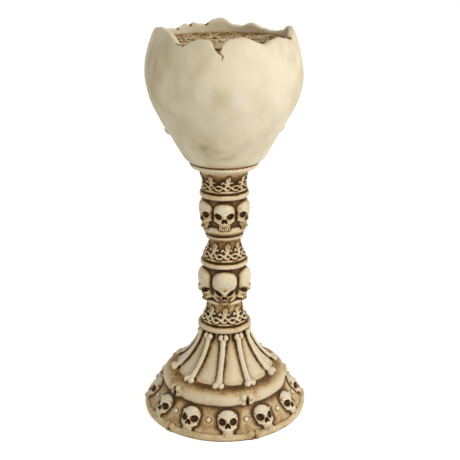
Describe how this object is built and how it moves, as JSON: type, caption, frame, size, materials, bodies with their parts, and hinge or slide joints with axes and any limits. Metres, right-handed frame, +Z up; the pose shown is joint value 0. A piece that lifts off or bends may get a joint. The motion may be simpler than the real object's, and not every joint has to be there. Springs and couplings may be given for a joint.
{
  "type": "candle holder",
  "caption": "Goblet-shaped candle stand cast as one piece: a broken braincase bowl with a shallow dish, a stem of skull drums and knotwork bands, and a round foot edged with bones.",
  "frame": {"origin": "centre of the flat underside, on the table", "axes": "+Z up along the stem, -Y towards the notch in the bowl's broken rim, +X to the right when the notch faces the viewer"},
  "size_m": [0.1225, 0.1222, 0.28],
  "materials": {
    "aged_ivory_resin": "cast resin, painted ivory, with a brown wash rubbed into the carving"
  },
  "bodies": {
    "root": {"candle_holder": "aged_ivory_resin"}
  },
  "joints": []
}
